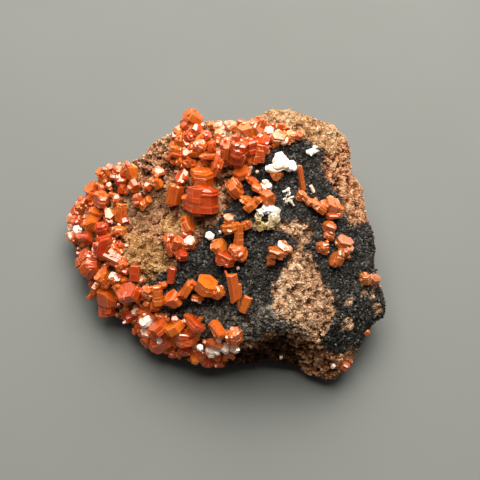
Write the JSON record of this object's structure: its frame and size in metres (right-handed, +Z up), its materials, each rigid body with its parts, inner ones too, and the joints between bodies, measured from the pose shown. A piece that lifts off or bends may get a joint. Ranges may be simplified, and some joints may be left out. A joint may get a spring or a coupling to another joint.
{
  "type": "vanadinite specimen",
  "caption": "Mineral specimen: a lump of brown rock with a black crust and clusters of orange-red hexagonal crystals, lying on a flat base.",
  "frame": {"origin": "on the flat underside, under the middle of the rock's face", "axes": "+Z up off the flat underside, +X along the longest side to the right as the crystal face is seen, -Y the low front edge nearest the viewer"},
  "size_m": [0.0651, 0.052, 0.0289],
  "materials": {
    "rock": "rough granular brown rock, partly under a matt black oxide crust",
    "vanadinite": "glossy translucent orange-red crystal",
    "barite": "satin pale cream crystal"
  },
  "bodies": {
    "root": {"amber_crystal": "vanadinite", "bar_group": "vanadinite", "bar_group_2": "vanadinite", "broad_crystal": "vanadinite", "broad_crystal_2": "vanadinite", "butterfly_group": "vanadinite", "butterfly_group_2": "vanadinite", "curved_pair": "vanadinite", "hollow_cluster": "vanadinite", "left_cluster": "vanadinite", "left_cluster_10": "vanadinite", "left_cluster_11": "vanadinite", "left_cluster_12": "vanadinite", "left_cluster_13": "vanadinite", "left_cluster_2": "vanadinite", "left_cluster_3": "vanadinite", "left_cluster_4": "vanadinite", "left_cluster_5": "vanadinite", "left_cluster_6": "vanadinite", "left_cluster_7": "vanadinite", "left_cluster_8": "vanadinite", "left_cluster_9": "vanadinite", "lip_group": "vanadinite", "lip_group_2": "vanadinite", "lower_cluster": "vanadinite", "lower_cluster_2": "vanadinite", "lower_cluster_3": "vanadinite", "lower_cluster_4": "vanadinite", "lower_cluster_5": "vanadinite", "lower_cluster_6": "vanadinite", "lower_pair": "vanadinite", "mirror_chip": "vanadinite", "pale_blade": "barite", "pale_fan": "barite", "pale_ring": "barite", "red_blocks": "vanadinite", "ridge_cluster": "vanadinite", "ridge_cluster_2": "vanadinite", "ridge_cluster_3": "vanadinite", "ridge_cluster_4": "vanadinite", "right_edge_chip": "vanadinite", "right_edge_pair": "vanadinite", "ring_group": "vanadinite", "rock": "rock", "slope_group": "vanadinite", "slope_plate": "vanadinite", "small_prism": "vanadinite", "small_tablet": "vanadinite", "standing_tablet": "vanadinite", "tee_group": "vanadinite", "tip_crystal": "vanadinite", "white_plate": "vanadinite"}
  },
  "joints": []
}
